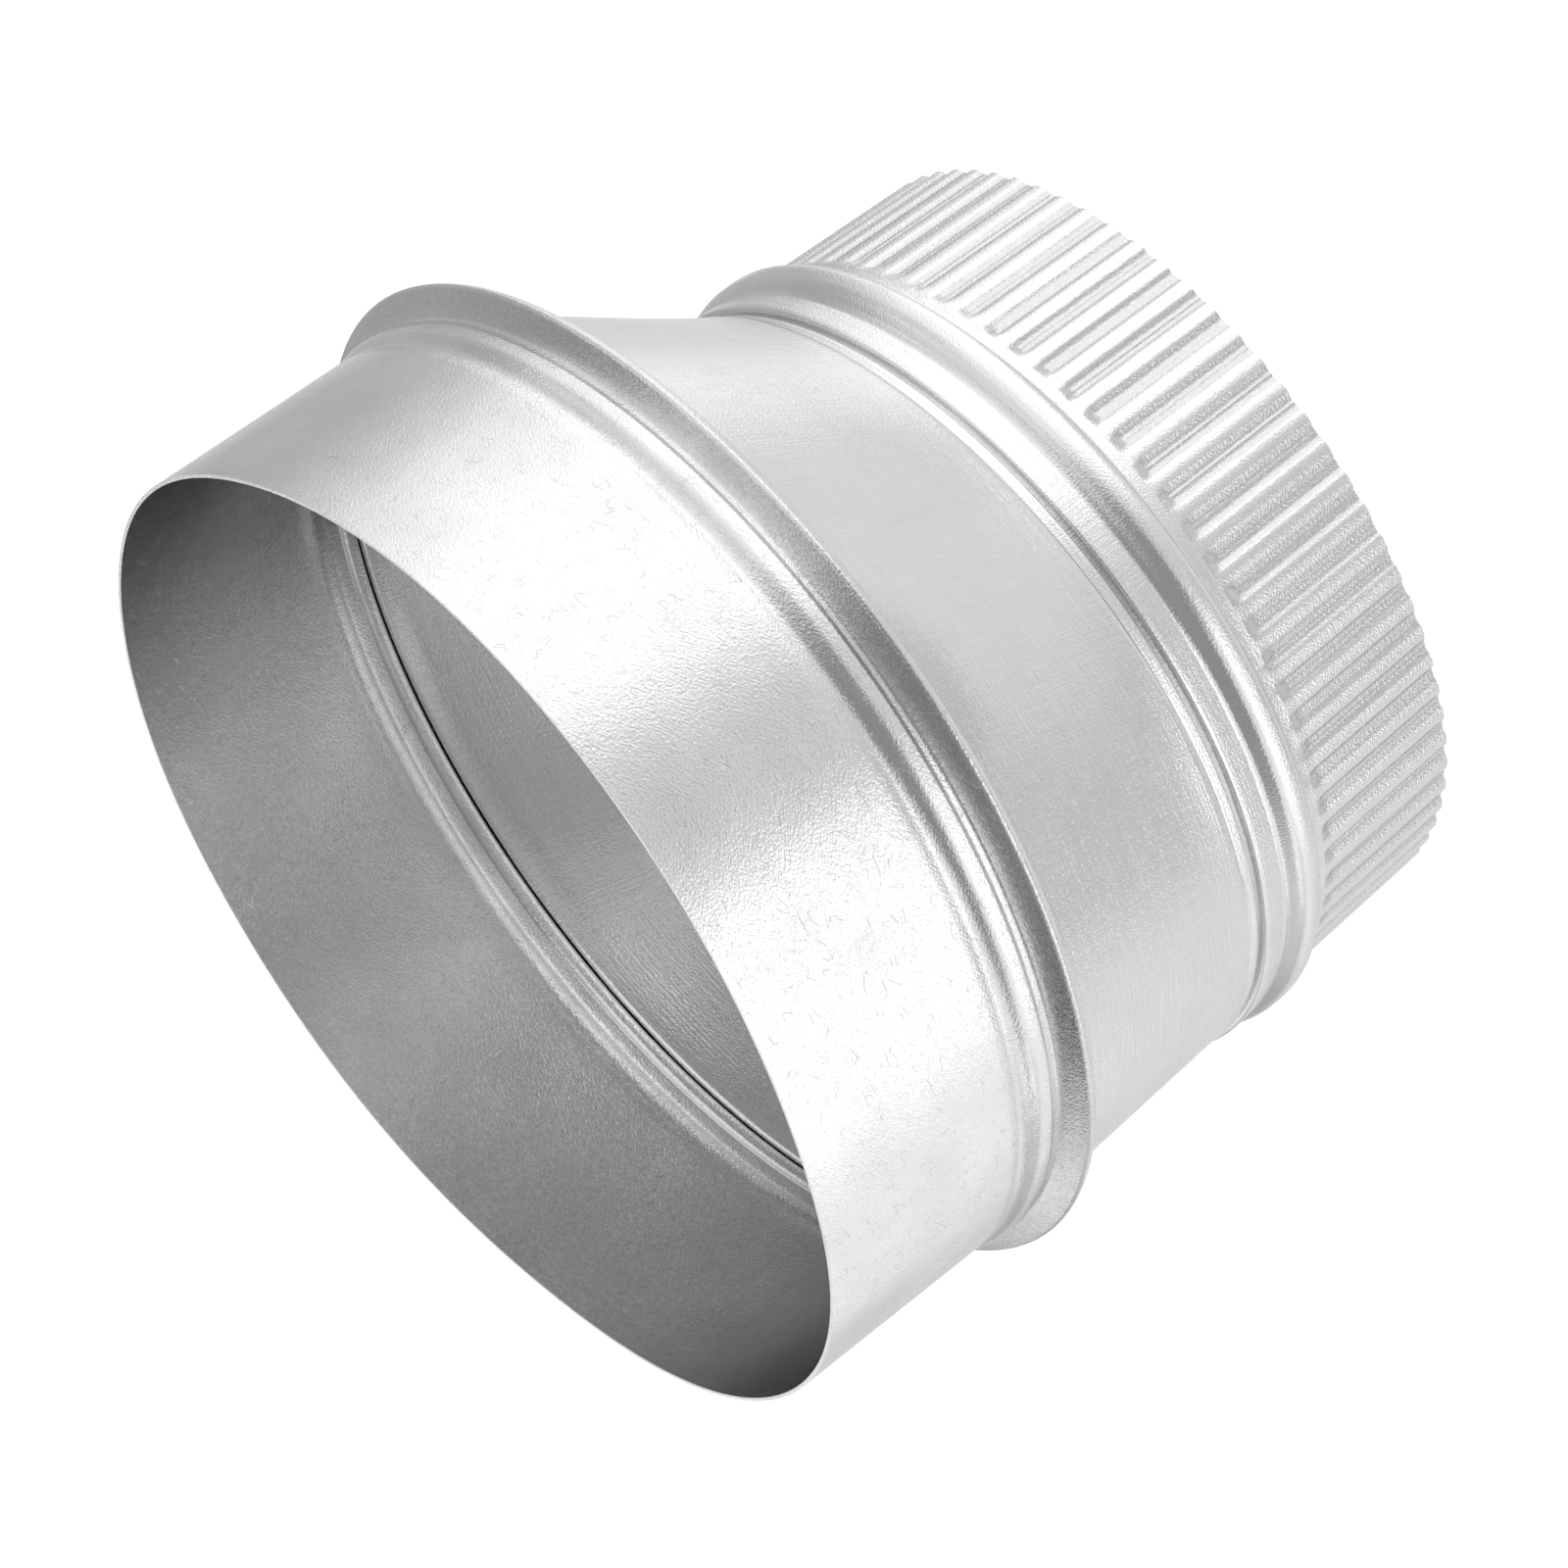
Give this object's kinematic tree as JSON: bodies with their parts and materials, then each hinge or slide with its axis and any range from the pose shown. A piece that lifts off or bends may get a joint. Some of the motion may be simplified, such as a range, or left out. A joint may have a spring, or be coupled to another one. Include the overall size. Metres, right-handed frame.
{
  "type": "duct reducer",
  "caption": "Round sheet-metal duct reducer: plain collar, off-centre taper and crimped collar, joined by a folded seam and a grooved sleeve.",
  "frame": {"origin": "on the plain collar's axis, in the plane of the crimped collar's end edge", "axes": "+Z along the collars' parallel axes, from the crimped end to the plain mouth; the crimped collar's axis lies 10.9 mm towards -X"},
  "size_m": [0.162, 0.162, 0.1231],
  "materials": {
    "collar_steel": "bright galvanised sheet, smooth, faint rolling marks",
    "taper_steel": "bright galvanised sheet, smooth, faint rolling marks",
    "crimped_steel": "galvanised sheet, lightly speckled where it was crimped"
  },
  "bodies": {
    "root": {"plain_collar": "collar_steel", "taper": "taper_steel", "crimped_collar": "crimped_steel"}
  },
  "joints": []
}
